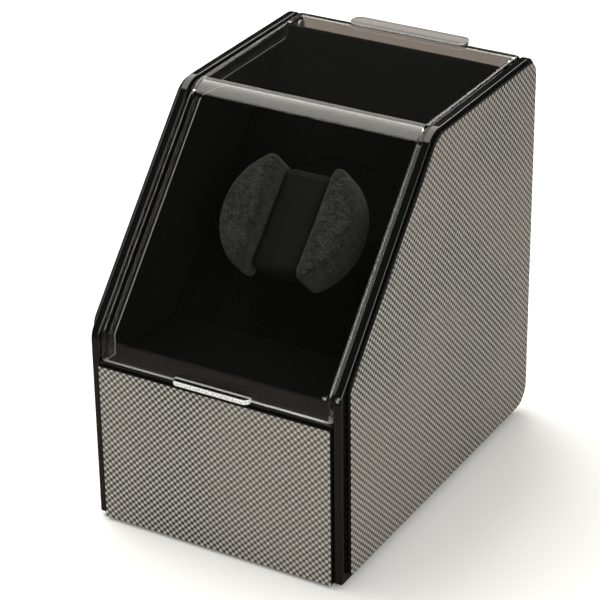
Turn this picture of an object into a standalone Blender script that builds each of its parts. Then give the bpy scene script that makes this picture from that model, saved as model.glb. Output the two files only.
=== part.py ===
"""Single watch winder box: laminated side cheeks, a hinged clear lid and a rotor on a slanted axis.

Metres, +Z up. The box faces -Y. The origin is under the middle of the box, on the surface it stands on.
Every piece is drawn in cheek coordinates: x across from the middle, y back from the cheeks' front edge,
z up from the cheeks' bottom edge. One parent empty carries that system to its place over the origin.
"""
import math

import bmesh
import bpy
from mathutils import Vector

MM = 0.001

# ---- driving dimensions -----------------------------------------------------------------------------
WIDTH = 127 * MM               # over the two outer laminate plates
DEPTH = 178 * MM               # cheeks, front edge to rear edge
HEIGHT = 179 * MM              # cheeks, bottom edge to top edge
KNEE_LOW = 90.4 * MM           # height where the vertical front turns into the raked slope
KNEE_BACK = 80.2 * MM          # distance back where the slope reaches the flat top
FOOT_HEIGHT = 2.0 * MM         # feet, below the cheeks
GAP = 0.3 * MM                 # between neighbours that touch

CHEEK_THICK = 3.9 * MM
LAMINATE_THICK = 1.7 * MM
LINER_THICK = 0.8 * MM
BOARD = 4.0 * MM               # base, front and back boards
FRONT_TOP = 77.9 * MM          # top edge of the front board, where the lid comes down
FACING_THICK = 1.5 * MM        # laminate facing of the front board
FACING_TOP = 75.8 * MM
FACING_DROP = 0.6 * MM         # how far the facing hangs below the cheeks
BACK_FACE = 171.0 * MM         # outer face of the back board
BACK_TOP = 163.7 * MM

LID_THICK = 2.8 * MM
LID_FLANGE = 9.0 * MM          # depth of the side flanges
LID_REAR = 175.0 * MM          # outer face of the rear flange
LID_REAR_LOW = 169.5 * MM      # lower edge of the rear flange
LID_BOTTOM = 78.2 * MM
LID_EDGE = 2.5 * MM            # outside radius where the sheet turns into a side flange
LID_SIDE_GAP = 0.5 * MM        # lid to cheek
PIVOT = (168.3 * MM, 172.0 * MM)   # lid hinge axis, (y, z)
EAR_RADIUS = 4.8 * MM
PIN_RADIUS = 1.5 * MM
PIN_PLAY = 0.1 * MM
TAB_THICK = 2.2 * MM
FRONT_TAB = (37.5 * MM, 3.5 * MM)    # length, how far it stands out
REAR_TAB = (59 * MM, 4.2 * MM)
REAR_TAB_LIP = 0.8 * MM            # the rear tab stands this far above the lid

SHELF_TOP = 73 * MM            # velvet shelf in front of the slanted panel
SHELF_THICK = 3 * MM
PANEL_OFFSET = 14.4 * MM       # the slanted panel's face is the plane z = y + PANEL_OFFSET
PANEL_HEAD = 160.8 * MM        # y of the slanted panel's upper edge
OPENING_RADIUS = 42.5 * MM
AXIS_POINT = (91.1 * MM, 105.5 * MM)   # where the rotor axis meets the panel's face, (y, z)
ROTOR_RADIUS = 42.0 * MM

MODULE = 1.0 * MM
GEAR_TEETH = 60
PINION_TEETH = 12
SHAFT_RADIUS = 4.0 * MM
MOTOR_SHAFT_RADIUS = 1.5 * MM
FRONT_BUSH = 8 * MM            # outside radii of the two bushes
REAR_BUSH = 6 * MM

PAD_RADIUS = 32.5 * MM
PAD_LOW = 18 * MM
PAD_HIGH = 42.5 * MM
STRAP_WIDTH = 25 * MM          # groove between the two felt pads
LEG_X = (19.5 * MM, 26.5 * MM)     # near and far side of each of the cushion's legs
LEG_HALF = 6 * MM
LEG_PLAY = 0.35 * MM               # leg to socket
SOCKET_WALL = 1.3 * MM
BAR_HALF = 8 * MM                  # the bar that joins the legs to the cushion's core
BAR_LOW = 19.5 * MM
BAR_HIGH = 28 * MM

PILLAR_RING = 41 * MM          # the housing's pillars, from the rotor axis
PILLAR_TURNS = (90, 210, 330)  # degrees round that ring
PILLAR_BORE = 1.5 * MM

SCREW_HEAD = 3.2 * MM
SCREW_SHANK = 1.5 * MM
SCREW_HOLE = 1.8 * MM
BATTEN = 8 * MM                # square section of the two rear battens

CONTROL_HEIGHT = 40 * MM       # switch, selector and jack, above the cheeks' bottom edge
SWITCH_X = 30 * MM
SELECTOR_X = 0.0
JACK_X = -30 * MM
SWITCH_BODY = (6.6 * MM, 10.5 * MM)    # half width and half height behind the bezel
SELECTOR_NECK = 3.0 * MM               # radius of the knob's stem
JACK_BARREL = 4.8 * MM                 # radius
JACK_LENGTH = 11 * MM
LEAD_RADIUS = 1.2 * MM
SWITCH_TILT = 8                # degrees the rocker leans at rest, in its off position
ROCKER_Y = 170.2 * MM          # the rocker's axis
CIRCUIT_FACE = 160.2 * MM      # inner face of the circuit board
CIRCUIT_THICK = 1.6 * MM
CONNECTORS = [(-24 * MM, 58.5 * MM), (16 * MM, 58.5 * MM)]   # middle x and lower edge z of each plug block
SCREW_PLACES = [(x, z) for x in (-52.5 * MM, 52.5 * MM) for z in (14 * MM, 140 * MM)]
STANDOFF_PLACES = [(x, z) for x in (-26 * MM, 26 * MM) for z in (63 * MM, 95 * MM)]
FOOT_PLACES = [(x, y) for x in (-46 * MM, 46 * MM) for y in (16 * MM, 160 * MM)]

# ---- derived ----------------------------------------------------------------------------------------
OUTER_X = WIDTH / 2
LAMINATE_IN = OUTER_X - LAMINATE_THICK
CHEEK_OUT = LAMINATE_IN - GAP
CHEEK_IN = CHEEK_OUT - CHEEK_THICK
BOARD_X = CHEEK_IN - GAP
CIRCUIT_BACK = CIRCUIT_FACE + CIRCUIT_THICK
LINER_IN = BOARD_X - LINER_THICK
PANEL_X = LINER_IN - GAP
LID_X = CHEEK_IN - LID_SIDE_GAP
LID_IN_X = LID_X - LID_THICK
FRONT_MOST = -FRONT_TAB[1]
REAR_MOST = LID_REAR + REAR_TAB[1]
MIDDLE_Y = (FRONT_MOST + REAR_MOST) / 2
PIVOT_Y, PIVOT_Z = PIVOT
AXIS_Y, AXIS_Z = AXIS_POINT
GEAR_RADIUS = MODULE * GEAR_TEETH / 2
PINION_RADIUS = MODULE * PINION_TEETH / 2
MOTOR_OFFSET = GEAR_RADIUS + PINION_RADIUS
STRAP_HALF = STRAP_WIDTH / 2
PILLAR_PLACES = [(PILLAR_RING * math.cos(math.radians(a)), PILLAR_RING * math.sin(math.radians(a)))
                 for a in PILLAR_TURNS]

# heights along the rotor axis, from the slanted panel's face
PLATE_TOP = -0.9 * MM
PLATE_LOW = -3.4 * MM
SOCKET_LOW = -10 * MM
HOUSING_RIM = -3.3 * MM
FLOOR_TOP = -13 * MM
FLOOR_LOW = -15 * MM
GEAR_TOP = -18 * MM
GEAR_LOW = -23 * MM
BRACKET_TOP = -32.3 * MM
BRACKET_LOW = -34.3 * MM
GEARBOX_LOW = -52 * MM
CAN_LOW = -72 * MM
CAN_END = -73.5 * MM
SHAFT_LOW = -37 * MM

SIDE_TURN = (math.radians(90), 0, math.radians(90))    # a flat outline (y, z) drawn across x
BACK_TURN = (math.radians(-90), 0, 0)                  # a turned piece whose axis points back

# a cheek's corners (y, z) from the front bottom, with the radius that rounds each
CHEEK_CORNERS = [(0, 0), (0, KNEE_LOW), (KNEE_BACK, HEIGHT), (DEPTH, HEIGHT), (DEPTH, 0)]
CHEEK_RADII = [1 * MM, 10 * MM, 14 * MM, 8 * MM, 11 * MM]


# ---- scene ------------------------------------------------------------------------------------------
for old in list(bpy.data.objects):
    bpy.data.objects.remove(old, do_unlink=True)

PARTS = bpy.data.collections.new("watch_winder_box")
CUTTERS = bpy.data.collections.new("cutters")
bpy.context.scene.collection.children.link(PARTS)
bpy.context.scene.collection.children.link(CUTTERS)


def empty(name, parent=None, location=(0, 0, 0), rotation=(0, 0, 0)):
    """A parent frame."""
    frame = bpy.data.objects.new(name, None)
    frame.parent = parent
    frame.location = location
    frame.rotation_euler = rotation
    PARTS.objects.link(frame)
    return frame


BOX = empty("box_frame", location=(0, -MIDDLE_Y, FOOT_HEIGHT))
LID_AXIS = empty("lid_axis", BOX, (0, PIVOT_Y, PIVOT_Z))
ROTOR_AXIS = empty("rotor_axis", BOX, (0, AXIS_Y, AXIS_Z), (math.radians(45), 0, 0))
PINION_AXIS = empty("pinion_axis", ROTOR_AXIS, (0, -MOTOR_OFFSET, 0))


def material(name, color, roughness, metallic=0.0, alpha=1.0, transmission=0.0):
    """A Principled material."""
    made = bpy.data.materials.new(name)
    made.use_nodes = True
    shader = made.node_tree.nodes["Principled BSDF"]
    shader.inputs["Base Color"].default_value = (*color, 1)
    shader.inputs["Roughness"].default_value = roughness
    shader.inputs["Metallic"].default_value = metallic
    shader.inputs["Alpha"].default_value = alpha
    shader.inputs["Transmission Weight"].default_value = transmission
    made.diffuse_color = (*color, alpha)
    return made


GLOSS_BLACK = material("gloss_black", (0.012, 0.012, 0.012), 0.12)
CARBON = material("carbon_laminate", (0.30, 0.29, 0.27), 0.35, 0.4)
BLACK_BOARD = material("black_board", (0.03, 0.03, 0.03), 0.55)
ACRYLIC = material("clear_acrylic", (0.95, 0.96, 0.95), 0.03, 0.0, 0.25, 1.0)
VELVET = material("black_velvet", (0.008, 0.009, 0.007), 0.95)
FELT = material("grey_felt", (0.07, 0.07, 0.068), 0.95)
BLACK_PLASTIC = material("black_plastic", (0.02, 0.02, 0.02), 0.4)
STEEL = material("steel", (0.62, 0.62, 0.63), 0.25, 1.0)
BRONZE = material("bronze_bush", (0.62, 0.42, 0.2), 0.35, 1.0)
NYLON = material("white_nylon", (0.82, 0.81, 0.76), 0.45)
BRASS = material("brass", (0.78, 0.58, 0.25), 0.3, 1.0)
MOTOR_STEEL = material("motor_can", (0.55, 0.56, 0.58), 0.35, 1.0)
CIRCUIT = material("circuit_board", (0.02, 0.16, 0.07), 0.45)
RUBBER = material("foot_rubber", (0.03, 0.03, 0.03), 0.85)
LEAD = material("lead_sheath", (0.04, 0.04, 0.045), 0.6)
WOOD = material("batten_wood", (0.55, 0.40, 0.24), 0.7)


# ---- modelling helpers ------------------------------------------------------------------------------
def add_object(name, mesh, surface, parent, location=(0, 0, 0), rotation=(0, 0, 0)):
    """Link a mesh as a part, or as a hidden cutter when it has no material."""
    made = bpy.data.objects.new(name, mesh)
    made.parent = parent
    made.location = location
    made.rotation_euler = rotation
    if surface is None:
        CUTTERS.objects.link(made)
        made.hide_render = True
        made.display_type = "WIRE"
    else:
        PARTS.objects.link(made)
        mesh.materials.clear()
        mesh.materials.append(surface)
    return made


def soften(part, width, segments=2, limit=35):
    """Round the sharp edges of a part."""
    bevel = part.modifiers.new("edge_round", "BEVEL")
    bevel.width = width
    bevel.segments = segments
    bevel.limit_method = "ANGLE"
    bevel.angle_limit = math.radians(limit)
    bevel.use_clamp_overlap = True


def combine(part, other, operation="DIFFERENCE"):
    """Cut a part with another solid, or join the two."""
    step = part.modifiers.new(operation.lower(), "BOOLEAN")
    step.operation = operation
    step.solver = "EXACT"
    step.object = other


def block(name, low, high, surface=None, parent=None, round_width=0.0):
    """A box between two corners, in its parent's system."""
    mesh = bpy.data.meshes.new(name)
    shape = bmesh.new()
    bmesh.ops.create_cube(shape, size=1)
    size = [h - l for l, h in zip(low, high)]
    bmesh.ops.scale(shape, vec=size, verts=shape.verts)
    shape.to_mesh(mesh)
    shape.free()
    middle = [(h + l) / 2 for l, h in zip(low, high)]
    made = add_object(name, mesh, surface, parent or BOX, middle)
    if round_width:
        soften(made, round_width)
    return made


def rod(name, radius, low, high, surface=None, parent=None, place=(0, 0), rotation=(0, 0, 0),
        sides=32, top_radius=None):
    """A round bar along its own Z from low to high, at a point of its parent's XY plane."""
    mesh = bpy.data.meshes.new(name)
    shape = bmesh.new()
    bmesh.ops.create_cone(shape, cap_ends=True, segments=sides, radius1=radius,
                          radius2=radius if top_radius is None else top_radius, depth=high - low)
    bmesh.ops.translate(shape, vec=(0, 0, (low + high) / 2), verts=shape.verts)
    shape.to_mesh(mesh)
    shape.free()
    smooth(mesh)
    where = Vector((*place, 0)) if len(place) == 2 else Vector(place)
    return add_object(name, mesh, surface, parent or BOX, where, rotation)


def smooth(mesh):
    """Shade a mesh smooth with its hard corners kept."""
    mesh.shade_smooth()
    mesh.set_sharp_from_angle(angle=math.radians(35))


def flat(name, outlines, low, high, surface=None, parent=None, location=(0, 0, 0), rotation=(0, 0, 0)):
    """A flat plate: outlines in its own XY plane, the later ones holes, from low to high along its Z."""
    curve = bpy.data.curves.new(name, "CURVE")
    curve.dimensions = "2D"
    curve.fill_mode = "BOTH"
    curve.extrude = (high - low) / 2
    for outline in outlines:
        spline = curve.splines.new("POLY")
        spline.points.add(len(outline) - 1)
        for point, (x, y) in zip(spline.points, outline):
            point.co = (x, y, 0, 1)
        spline.use_cyclic_u = True
    drawn = bpy.data.objects.new(name + "_outline", curve)
    CUTTERS.objects.link(drawn)
    bpy.context.view_layer.update()
    mesh = bpy.data.meshes.new_from_object(drawn.evaluated_get(bpy.context.evaluated_depsgraph_get()))
    bpy.data.objects.remove(drawn, do_unlink=True)
    shape = bmesh.new()
    shape.from_mesh(mesh)
    bmesh.ops.remove_doubles(shape, verts=shape.verts, dist=0.00001)
    if len(outlines) == 1:
        bmesh.ops.dissolve_limit(shape, angle_limit=math.radians(0.1), verts=shape.verts, edges=shape.edges)
    bmesh.ops.translate(shape, vec=(0, 0, (low + high) / 2), verts=shape.verts)
    bmesh.ops.recalc_face_normals(shape, faces=shape.faces)
    shape.to_mesh(mesh)
    shape.free()
    mesh.name = name
    smooth(mesh)
    return add_object(name, mesh, surface, parent or BOX, location, rotation)


def across(name, outline, x_low, x_high, surface=None, holes=()):
    """A plate drawn in the box's side view (y, z), from x_low to x_high."""
    return flat(name, [outline, *holes], x_low, x_high, surface, BOX, (0, 0, 0), SIDE_TURN)


def turned(name, profile, surface=None, parent=None, location=(0, 0, 0), rotation=(0, 0, 0), steps=32,
           closed=False):
    """A turned shape about its own Z. The profile (radius, height) runs down the outer side."""
    mesh = bpy.data.meshes.new(name)
    edges = [(i, i + 1) for i in range(len(profile) - 1)]
    if closed:
        edges.append((len(profile) - 1, 0))
    mesh.from_pydata([(r, 0, z) for r, z in profile], edges, [])
    made = add_object(name, mesh, surface, parent or BOX, location, rotation)
    screw = made.modifiers.new("turn", "SCREW")
    screw.axis = "Z"
    screw.steps = steps
    screw.render_steps = steps
    screw.use_merge_vertices = True
    screw.merge_threshold = 0.00001
    screw.use_smooth_shade = True
    return made


def circle(radius, centre=(0, 0), sides=48):
    """Points of a circle."""
    turns = [2 * math.pi * i / sides for i in range(sides)]
    return [(centre[0] + radius * math.cos(t), centre[1] + radius * math.sin(t)) for t in turns]


def inset(corners, distances):
    """Move each edge of a clockwise outline inwards: distances[i] is for the edge from corner i to i + 1."""
    count = len(corners)
    lines = []
    for i in range(count):
        start = Vector(corners[i])
        along = (Vector(corners[(i + 1) % count]) - start).normalized()
        inward = Vector((along.y, -along.x))
        lines.append((start + inward * distances[i], along))
    moved = []
    for i in range(count):
        (p, a), (q, b) = lines[i - 1], lines[i]
        reach = ((q - p).x * b.y - (q - p).y * b.x) / (a.x * b.y - a.y * b.x)
        moved.append(tuple(p + a * reach))
    return moved


def rounded(corners, radii, steps=12):
    """Round an outline's corners with arcs; a radius of 0 keeps the corner."""
    points = []
    count = len(corners)
    for i in range(count):
        here = Vector(corners[i])
        radius = radii[i]
        if radius <= 0:
            points.append(tuple(here))
            continue
        before = (Vector(corners[i - 1]) - here).normalized()
        after = (Vector(corners[(i + 1) % count]) - here).normalized()
        half = before.angle(after) / 2
        centre = here + (before + after).normalized() * (radius / math.sin(half))
        start = here + before * (radius / math.tan(half)) - centre
        end = here + after * (radius / math.tan(half)) - centre
        sweep = start.angle(end)
        turn = 1 if start.x * end.y - start.y * end.x > 0 else -1
        for k in range(steps + 1):
            angle = turn * sweep * k / steps
            c, s = math.cos(angle), math.sin(angle)
            points.append((centre.x + start.x * c - start.y * s, centre.y + start.x * s + start.y * c))
    return points


def smooth_route(points, per_span=3):
    """Points of a Catmull-Rom curve through a route."""
    ends = [Vector(p) for p in points]
    ends = [2 * ends[0] - ends[1], *ends, 2 * ends[-1] - ends[-2]]
    made = []
    for a, b, c, d in zip(ends, ends[1:], ends[2:], ends[3:]):
        for k in range(per_span):
            t = k / per_span
            made.append(0.5 * ((2 * b) + (c - a) * t + (2 * a - 5 * b + 4 * c - d) * t * t
                               + (3 * b - 3 * c + d - a) * t ** 3))
    made.append(ends[-2])
    return made


def tube(name, route):
    """A round lead along a smooth route."""
    curve = bpy.data.curves.new(name, "CURVE")
    curve.dimensions = "3D"
    curve.bevel_depth = LEAD_RADIUS
    curve.bevel_resolution = 2
    curve.use_fill_caps = True
    spline = curve.splines.new("POLY")
    points = smooth_route(route)
    spline.points.add(len(points) - 1)
    for target, point in zip(spline.points, points):
        target.co = (*point, 1)
    made = bpy.data.objects.new(name, curve)
    curve.materials.append(LEAD)
    made.parent = BOX
    PARTS.objects.link(made)
    return made


def on_axis(x, along, height):
    """Box coordinates of a point given across, up the slanted panel and out along the rotor axis."""
    slant = math.sqrt(0.5)
    return (x, AXIS_Y + (along - height) * slant, AXIS_Z + (along + height) * slant)


# ---- carcass ----------------------------------------------------------------------------------------
def make_cheeks():
    """The two gloss black side panels, each drilled for its lid pin."""
    outline = rounded(CHEEK_CORNERS, CHEEK_RADII)
    hole = circle(PIN_RADIUS + GAP, PIVOT, 20)
    for name, low, high in (("left_side_panel", -CHEEK_OUT, -CHEEK_IN),
                            ("right_side_panel", CHEEK_IN, CHEEK_OUT)):
        panel = across(name, outline, low, high, GLOSS_BLACK)
        soften(panel, 0.6 * MM, 3)
        drill = across(name + "_pin_hole", hole, low - MM, high + MM)
        combine(panel, drill)


def make_laminates():
    """The patterned outer plates, set in from the cheeks' edges."""
    edge, front, foot = 1.8 * MM, 5.0 * MM, 2.9 * MM
    corners = inset(CHEEK_CORNERS, [front, edge, edge, edge, foot])
    outline = rounded(corners, [1 * MM, 9 * MM, 13 * MM, 7 * MM, 10 * MM])
    for name, low, high in (("left_side_laminate", -OUTER_X, -LAMINATE_IN),
                            ("right_side_laminate", LAMINATE_IN, OUTER_X)):
        soften(across(name, outline, low, high, CARBON), 0.5 * MM)


def make_boards():
    """Base, front board with its facing, and the back board with its cut-outs and stand-offs."""
    base_low = 0.5 * MM
    base_high = base_low + BOARD
    block("base_board", (-BOARD_X, BOARD + GAP, base_low), (BOARD_X, BACK_FACE, base_high), BLACK_BOARD,
          round_width=0.3 * MM)
    block("front_board", (-BOARD_X, 0, -GAP), (BOARD_X, BOARD, FRONT_TOP), GLOSS_BLACK, round_width=0.4 * MM)
    block("front_laminate", (-BOARD_X, -GAP - FACING_THICK, -FACING_DROP), (BOARD_X, -GAP, FACING_TOP),
          CARBON, round_width=0.5 * MM)
    back = block("back_board", (-BOARD_X, BACK_FACE - BOARD, base_high + GAP), (BOARD_X, BACK_FACE, BACK_TOP),
                 BLACK_BOARD, round_width=0.4 * MM)

    through = (-2 * BOARD, BOARD)          # a cutter's reach either side of the outer face
    wide, tall = SWITCH_BODY[0] + GAP, SWITCH_BODY[1] + GAP
    combine(back, block("switch_cutout", (SWITCH_X - wide, BACK_FACE + through[0], CONTROL_HEIGHT - tall),
                        (SWITCH_X + wide, BACK_FACE + through[1], CONTROL_HEIGHT + tall)))
    for name, x, radius in (("selector_hole", SELECTOR_X, SELECTOR_NECK + 0.5 * MM),
                            ("jack_hole", JACK_X, JACK_BARREL + GAP)):
        combine(back, rod(name, radius, *through, place=(x, BACK_FACE, CONTROL_HEIGHT), rotation=BACK_TURN))
    for i, (x, z) in enumerate(SCREW_PLACES):
        combine(back, rod(f"back_screw_hole_{i}", SCREW_HOLE, *through, place=(x, BACK_FACE, z),
                          rotation=BACK_TURN, sides=12))
    stand_off = (CIRCUIT_BACK + GAP - BACK_FACE, -MM)
    for i, (x, z) in enumerate(STANDOFF_PLACES):
        combine(back, rod(f"standoff_{i}", 2.5 * MM, *stand_off, place=(x, BACK_FACE, z), rotation=BACK_TURN,
                          sides=12), "UNION")


def make_battens():
    """Two wooden strips inside the rear corners, which the back screws bite into."""
    low_z, high_z = 5 * MM, 150 * MM
    face = BACK_FACE - BOARD - GAP
    for name, low, high in (("left_batten", -BOARD_X, -BOARD_X + BATTEN),
                            ("right_batten", BOARD_X - BATTEN, BOARD_X)):
        batten = block(name, (low, face - BATTEN, low_z), (high, face, high_z), WOOD, round_width=0.4 * MM)
        for i, (x, z) in enumerate(SCREW_PLACES):
            if low < x < high:
                combine(batten, rod(f"{name}_hole_{i}", SCREW_HOLE, -2 * BATTEN, 0, place=(x, BACK_FACE, z),
                                    rotation=BACK_TURN, sides=12))


def make_screws():
    """Cross-head screws: four through the back board, three into the housing's pillars."""
    for i, (x, z) in enumerate(SCREW_PLACES):
        screw(f"back_screw_{i + 1}", SCREW_SHANK, 10.5 * MM, BOX, (x, BACK_FACE + GAP, z), BACK_TURN)
    for i, (x, y) in enumerate(PILLAR_PLACES):
        screw(f"bracket_screw_{i + 1}", PILLAR_BORE - GAP, 9 * MM, ROTOR_AXIS, (x, y, BRACKET_LOW - GAP),
              (math.pi, 0, 0))


def screw(name, shank, length, parent, place, rotation):
    """A pan head on a plain shank, seated at its own origin with the head towards its +Z."""
    crown, shoulder, slot_floor = 1.7 * MM, 0.8 * MM, 0.9 * MM
    profile = [(0, crown), (SCREW_HEAD * 0.6, crown * 0.85), (SCREW_HEAD * 0.93, shoulder), (SCREW_HEAD, 0),
               (shank, 0), (shank, -length + MM), (shank * 0.4, -length), (0, -length)]
    made = turned(name, profile, STEEL, parent, place, rotation, steps=16)
    slot_long, slot_wide = SCREW_HEAD * 0.75, 0.5 * MM
    for k, (wide, deep) in enumerate(((slot_long, slot_wide), (slot_wide, slot_long))):
        slot = block(f"{name}_slot_{k}", (-wide, -deep, slot_floor), (wide, deep, 2 * crown), parent=made)
        combine(made, slot)


def make_feet():
    """Four rubber feet under the base."""
    radius, top = 6.2 * MM, 0.2 * MM
    profile = [(0, top), (radius, top), (radius - 0.2 * MM, -0.7 * FOOT_HEIGHT),
               (radius - 0.8 * MM, -FOOT_HEIGHT), (0, -FOOT_HEIGHT)]
    for i, (x, y) in enumerate(FOOT_PLACES):
        turned(f"foot_{i + 1}", profile, RUBBER, BOX, (x, y, 0), steps=32)


# ---- lid --------------------------------------------------------------------------------------------
def lid_outline(depth, rear, low):
    """The lid's side view, set in by depth and closed at a low level, where it is trimmed off later."""
    corners = inset([(0, low), (0, KNEE_LOW), (KNEE_BACK, HEIGHT), (rear, HEIGHT), (rear, low)],
                    [depth, depth, depth, 0, 0])
    corners[0] = (depth, low)
    radii = [0, 10 * MM - depth, 14 * MM - depth, max(3.5 * MM - depth, 0.6 * MM), 0]
    return rounded(corners, radii, 14)


def make_lid():
    """A moulded clear sheet: front, slope and top in one, side and rear flanges, ears and two finger tabs."""
    solid_low, hollow_low, under_low = 60 * MM, 50 * MM, 45 * MM
    inner_rear = LID_REAR - LID_THICK
    lid = across("lid", lid_outline(0, LID_REAR, solid_low), -LID_X, LID_X, ACRYLIC)
    soften(lid, LID_EDGE, 4, 80)
    combine(lid, across("lid_hollow", lid_outline(LID_THICK, inner_rear, hollow_low), -LID_IN_X, LID_IN_X))
    combine(lid, across("lid_under", lid_outline(LID_FLANGE, inner_rear - 0.1 * MM, under_low),
                        -OUTER_X, OUTER_X))
    middle = inner_rear - 10 * MM
    for name, y_low, y_high, z_high in (("lid_front_trim", -10 * MM, middle, LID_BOTTOM),
                                        ("lid_rear_trim", middle - MM, LID_REAR + 10 * MM, LID_REAR_LOW)):
        combine(lid, block(name, (-OUTER_X, y_low, 40 * MM), (OUTER_X, y_high, z_high)))
    ear_low, ear_high = PIVOT_Z - EAR_RADIUS, HEIGHT - 2 * MM
    ear = rounded([(PIVOT_Y - EAR_RADIUS, ear_low), (PIVOT_Y - EAR_RADIUS, ear_high),
                   (PIVOT_Y + EAR_RADIUS, ear_high), (PIVOT_Y + EAR_RADIUS, ear_low)],
                  [EAR_RADIUS * 0.99, 0, 0, EAR_RADIUS * 0.99])
    for side in (-1, 1):
        low, high = sorted((side * LID_IN_X, side * LID_X))
        combine(lid, across(f"lid_ear_{side + 1}", ear, low, high), "UNION")
    combine(lid, tab_plate("front_tab", FRONT_TAB[0], (-FRONT_TAB[1], 0.5 * LID_THICK), (2.4 * MM, 0),
                           (LID_BOTTOM, LID_BOTTOM + TAB_THICK)), "UNION")
    rear_root = 4.5 * MM
    combine(lid, tab_plate("rear_tab", REAR_TAB[0], (LID_REAR - rear_root, LID_REAR + REAR_TAB[1]),
                           (3.5 * MM, 3.5 * MM), (HEIGHT + REAR_TAB_LIP - TAB_THICK, HEIGHT + REAR_TAB_LIP)),
            "UNION")
    combine(lid, across("lid_pin_hole", circle(PIN_RADIUS + PIN_PLAY, PIVOT, 24), -LID_X - MM, LID_X + MM))
    lid.parent = LID_AXIS
    lid.location = (0, -PIVOT_Y, -PIVOT_Z)


def make_lid_pins():
    """The two headed pins, pushed through the lid's ears from inside into the cheeks."""
    head = LID_IN_X - GAP
    tip = CHEEK_OUT - 0.5 * MM
    head_thick, head_radius = 1.6 * MM, 3 * MM
    profile = [(0, tip), (PIN_RADIUS * 0.8, tip), (PIN_RADIUS, tip - 0.4 * MM), (PIN_RADIUS, head),
               (head_radius, head), (head_radius, head - 0.75 * head_thick),
               (0.73 * head_radius, head - head_thick), (0, head - head_thick)]
    for side, name in ((-1, "left_lid_pin"), (1, "right_lid_pin")):
        turned(name, profile, STEEL, BOX, (0, PIVOT_Y, PIVOT_Z), (0, side * math.radians(90), 0), steps=16)


def tab_plate(name, length, reach, round_radii, heights):
    """A small finger tab between two depths, its front and rear corners rounded."""
    (y_low, y_high), (front, rear) = reach, round_radii
    corners = [(-length / 2, y_low), (-length / 2, y_high), (length / 2, y_high), (length / 2, y_low)]
    return flat(name, [rounded(corners, [front, rear, rear, front], 5)], *heights)


# ---- display panel and liners -----------------------------------------------------------------------
def make_display():
    """The velvet shelf and slanted panel in one bent board, open for the rotor, notched for the lid."""
    front = BOARD + GAP
    slant = SHELF_THICK * math.sqrt(0.5)
    head_z = PANEL_HEAD + PANEL_OFFSET
    back_offset = PANEL_OFFSET - SHELF_THICK * math.sqrt(2)
    low = SHELF_TOP - SHELF_THICK
    outline = [(front, low), (front, SHELF_TOP), (SHELF_TOP - PANEL_OFFSET, SHELF_TOP), (PANEL_HEAD, head_z),
               (PANEL_HEAD + slant, head_z - slant), (low - back_offset, low)]
    panel = across("display_panel", outline, -PANEL_X, PANEL_X, VELVET)
    cut = 4 * SHELF_THICK
    combine(panel, rod("rotor_opening", OPENING_RADIUS, -cut, cut, parent=ROTOR_AXIS, sides=96))
    for side in (-1, 1):
        near, far = sorted((side * (LID_IN_X - 0.5 * MM), side * OUTER_X))
        notch_low = HEIGHT - LID_FLANGE - MM
        combine(panel, block(f"panel_notch_{side + 1}", (near, PANEL_HEAD - 20 * MM, notch_low),
                             (far, BACK_FACE, HEIGHT)))


def make_liners():
    """Velvet-covered card on the inside of each cheek, between the lid's flange and the panel."""
    clear = LID_FLANGE + 0.5 * MM
    knees = inset(CHEEK_CORNERS, [clear, clear, clear, clear, clear])
    face = PANEL_OFFSET + 2 * GAP
    top = HEIGHT - clear
    foot = SHELF_TOP + GAP
    liner = rounded([(clear, foot), knees[1], knees[2], (top - face, top), (foot - face, foot)],
                    [0, 5 * MM, 8 * MM, 0, 0])
    for name, low_x, high_x in (("left_liner", -BOARD_X, -LINER_IN), ("right_liner", LINER_IN, BOARD_X)):
        across(name, liner, low_x, high_x, VELVET)


# ---- rotor and cushion ------------------------------------------------------------------------------
def rectangle(x_low, x_high, y_low, y_high):
    """Corners of an upright rectangle."""
    return [(x_low, y_low), (x_low, y_high), (x_high, y_high), (x_high, y_low)]


def leg_outlines(grow):
    """The two leg sections, grown by a clearance or a wall."""
    near, far = LEG_X
    reach = LEG_HALF + grow
    return [rectangle(near - grow, far + grow, -reach, reach),
            rectangle(-far - grow, -near + grow, -reach, reach)]


def make_rotor():
    """The turning plate with its two sockets, its velvet face and its shaft."""
    face = [circle(ROTOR_RADIUS, sides=96)]
    hub_radius = 9 * MM
    plate = flat("rotor_plate", face, PLATE_LOW, PLATE_TOP, BLACK_PLASTIC, ROTOR_AXIS)
    rise = (SOCKET_LOW, PLATE_LOW + MM)
    combine(plate, rod("rotor_hub", hub_radius, *rise, parent=ROTOR_AXIS, sides=24), "UNION")
    for i, wall in enumerate(leg_outlines(LEG_PLAY + SOCKET_WALL)):
        combine(plate, flat(f"socket_wall_{i}", [wall], *rise, parent=ROTOR_AXIS), "UNION")
    for i, bore in enumerate(leg_outlines(LEG_PLAY)):
        combine(plate, flat(f"socket_bore_{i}", [bore], SOCKET_LOW - MM, 2 * MM, parent=ROTOR_AXIS))
    combine(plate, rod("hub_bore", SHAFT_RADIUS + GAP, SOCKET_LOW - MM, PLATE_LOW - GAP, parent=ROTOR_AXIS))
    flat("rotor_velvet", [*face, *leg_outlines(LEG_PLAY)], PLATE_TOP + GAP, 0.2 * MM, VELVET, ROTOR_AXIS)
    rod("rotor_shaft", SHAFT_RADIUS, SHAFT_LOW, PLATE_LOW - 2 * GAP, STEEL, ROTOR_AXIS)


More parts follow.
